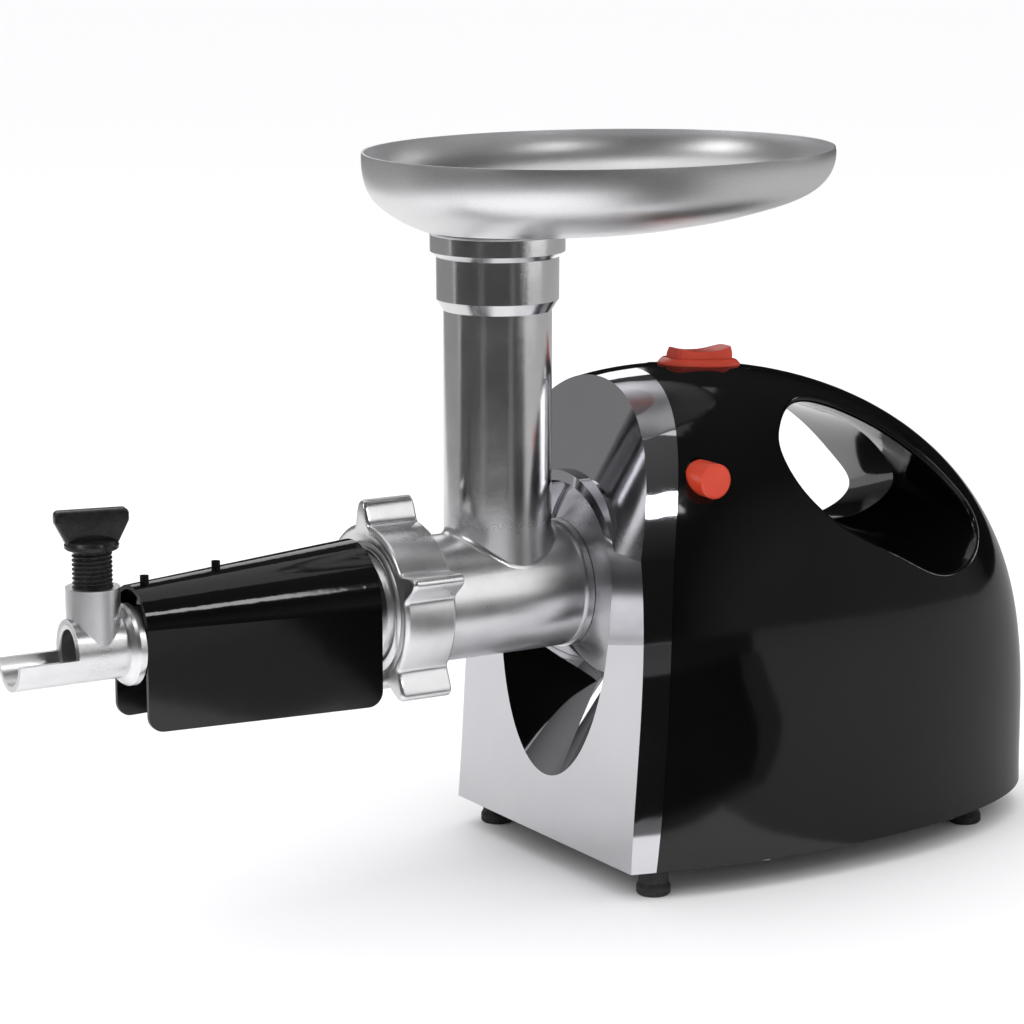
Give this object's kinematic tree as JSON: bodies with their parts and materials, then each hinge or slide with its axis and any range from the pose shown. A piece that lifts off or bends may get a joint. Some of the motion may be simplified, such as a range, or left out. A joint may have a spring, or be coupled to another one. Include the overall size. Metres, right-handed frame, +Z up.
{
  "type": "electric meat grinder",
  "caption": "Electric meat grinder with a geared motor in a two-shell housing, a plated front, an oval feed tray and a juicer attachment with strainer cone and spout.",
  "frame": {"origin": "on the table under the middle of the machine", "axes": "+X along the drive axis from the spout to the rear, +Z up, release button on the -Y side"},
  "size_m": [0.5412, 0.1894, 0.337],
  "materials": {
    "chrome": "polished",
    "black_gloss": "high gloss",
    "red_plastic": "satin gloss",
    "cast_aluminium": "polished casting",
    "tray_aluminium": "satin grained",
    "foot_rubber": "matt",
    "steel": "machined",
    "lamination": "stacked sheet",
    "copper_wire": "enamelled copper",
    "bronze": "sintered",
    "carbon": "pressed carbon",
    "grey_plastic": "glass-filled",
    "dark_plastic": "moulded",
    "white_plastic": "moulded"
  },
  "bodies": {
    "machine": {"front_panel": "chrome", "housing_left": "black_gloss", "housing_right": "black_gloss", "base_plate": "dark_plastic", "base_screws": "steel", "foot_front_left": "foot_rubber", "foot_front_right": "foot_rubber", "foot_rear_left": "foot_rubber", "foot_rear_right": "foot_rubber", "cord_gland": "dark_plastic", "socket_ring": "cast_aluminium", "grinder_head": "cast_aluminium", "auger_bush": "bronze", "strainer_cone": "cast_aluminium", "spout": "cast_aluminium", "motor_stator": "lamination", "field_windings": "copper_wire", "motor_bracket": "steel", "brush_holders": "bronze", "brushes": "carbon", "motor_cradle": "dark_plastic", "output_bush": "bronze", "gear_case": "grey_plastic", "gear_cover": "grey_plastic", "button_spring": "steel", "switch_bezel": "red_plastic", "rocker_pin": "steel", "switch_body": "dark_plastic"},
    "motor": {"motor_rotor": "steel"},
    "first_gear": {"first_gear_shaft": "white_plastic"},
    "second_gear": {"second_gear_shaft": "steel"},
    "output": {"output_spindle": "steel", "auger": "cast_aluminium"},
    "switch_rocker": {"rocker": "red_plastic"},
    "button": {"release_button": "red_plastic", "lock_bar": "steel"},
    "pin": {"lock_pin": "steel"},
    "nut": {"ring_nut": "cast_aluminium"},
    "pad": {"screw_pad": "white_plastic"},
    "screw": {"wing_screw": "dark_plastic"},
    "hopper": {"tray": "tray_aluminium"},
    "guard": {"juice_guard": "black_gloss"}
  },
  "joints": [
    {"name": "rotor_spin", "type": "hinge", "parent": "machine", "child": "motor", "pos_m": [0.13, 0, 0.05939], "axis": [1, 0, 0], "continuous": true},
    {"name": "first_gear_spin", "type": "hinge", "parent": "machine", "child": "first_gear", "pos_m": [0.07, 0.01724, 0.091], "axis": [1, 0, 0], "continuous": true},
    {"name": "second_gear_spin", "type": "hinge", "parent": "machine", "child": "second_gear", "pos_m": [0.07, -0.018, 0.10382], "axis": [1, 0, 0], "continuous": true},
    {"name": "auger_spin", "type": "hinge", "parent": "machine", "child": "output", "pos_m": [0.05, 0, 0.135], "axis": [1, 0, 0], "continuous": true},
    {"name": "rocker_tilt", "type": "hinge", "parent": "machine", "child": "switch_rocker", "pos_m": [0.08429, 0, 0.23001], "axis": [0, 1, 0], "range_deg": [-8, 8]},
    {"name": "button_press", "type": "slide", "parent": "machine", "child": "button", "axis": [0, 1, 0], "range_m": [0, 0.005], "stiffness_N_per_m": 500, "deforming": ["button_spring"]},
    {"name": "lock_pin_lift", "type": "slide", "parent": "machine", "child": "pin", "axis": [0, 0, 1], "range_m": [0, 0.004]},
    {"name": "nut_turn", "type": "hinge", "parent": "machine", "child": "nut", "pos_m": [-0.0825, 0, 0.135], "axis": [-1, 0, 0], "range_deg": [0, 180]},
    {"name": "pad_travel", "type": "slide", "parent": "machine", "child": "pad", "axis": [0, 0, 1], "range_m": [-0.01, 0.004]},
    {"name": "screw_turn", "type": "hinge", "parent": "pad", "child": "screw", "pos_m": [-0.2305, 0, 0.165], "axis": [0, 0, 1], "range_deg": [-1800, 720]},
    {"name": "tray_lift", "type": "slide", "parent": "machine", "child": "hopper", "axis": [0, 0, 1], "range_m": [0, 0.05]},
    {"name": "guard_lift", "type": "slide", "parent": "machine", "child": "guard", "axis": [0, 0, 1], "range_m": [0, 0.075]}
  ],
  "couplings": [
    {"joint": "first_gear_spin", "follows": "rotor_spin", "ratio": -0.2},
    {"joint": "second_gear_spin", "follows": "rotor_spin", "ratio": 0.05},
    {"joint": "auger_spin", "follows": "rotor_spin", "ratio": -0.016667},
    {"joint": "lock_pin_lift", "follows": "button_press", "ratio": 0.8},
    {"joint": "screw_turn", "follows": "pad_travel", "rad_per_m": 3141.6}
  ]
}
